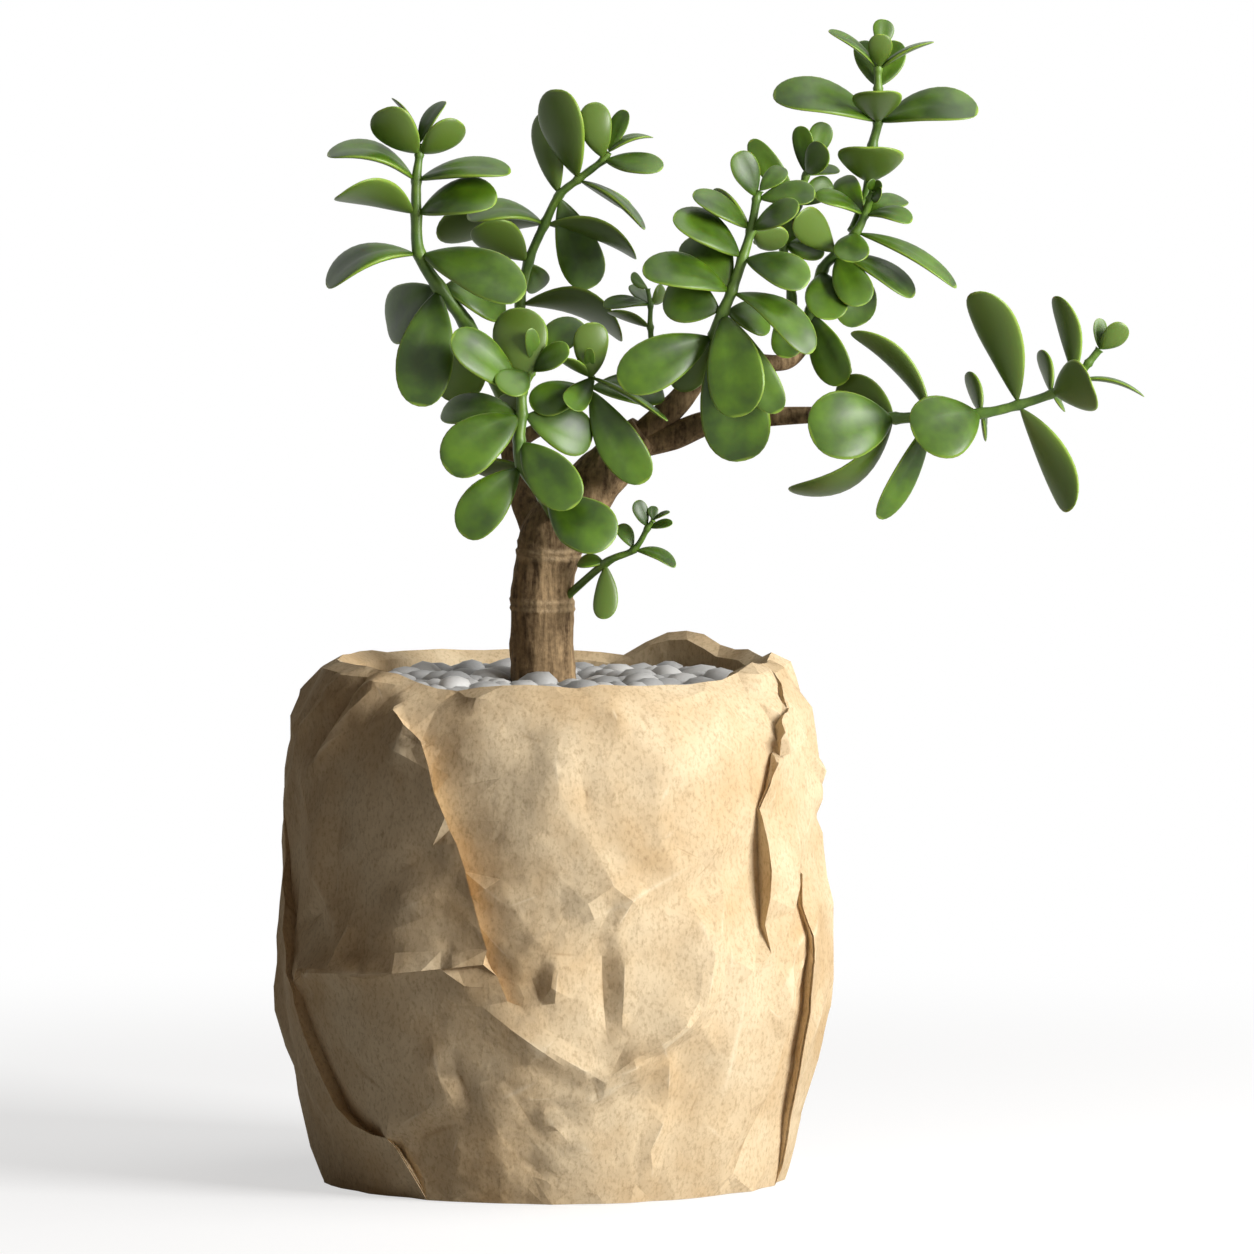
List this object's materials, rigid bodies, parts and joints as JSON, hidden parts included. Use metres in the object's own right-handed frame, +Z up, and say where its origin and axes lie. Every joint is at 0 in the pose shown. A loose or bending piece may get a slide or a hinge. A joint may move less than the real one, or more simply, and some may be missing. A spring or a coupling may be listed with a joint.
{
  "type": "potted jade plant",
  "caption": "Branching jade plant in a nursery pot, wrapped in one crumpled sheet of kraft paper gathered up and tucked in over the rim, with a pebble top dressing.",
  "frame": {"origin": "on the floor under the pot, on the pot's axis", "axes": "+Z up, -Y towards the viewer, +X to the viewer's right, the side that the long leafy arm reaches to"},
  "size_m": [0.3128, 0.2037, 0.4171],
  "materials": {
    "paper": "matte",
    "pot": "satin",
    "soil": "rough",
    "pebble": "smooth matte",
    "bark": "rough",
    "leaf": "waxy satin"
  },
  "bodies": {
    "root": {"paper_wrap": "paper", "nursery_pot": "pot", "potting_soil": "soil", "pebble_layer": "pebble", "trunk": "bark", "left_crown_shoot": "leaf", "left_rear_shoot": "leaf", "front_left_shoot": "leaf", "centre_rosette": "leaf", "small_upright_shoot": "leaf", "middle_front_shoot": "leaf", "right_crown_shoot": "leaf", "inner_right_shoot": "leaf", "right_arm_shoot": "leaf", "low_side_shoot": "leaf"}
  },
  "joints": []
}
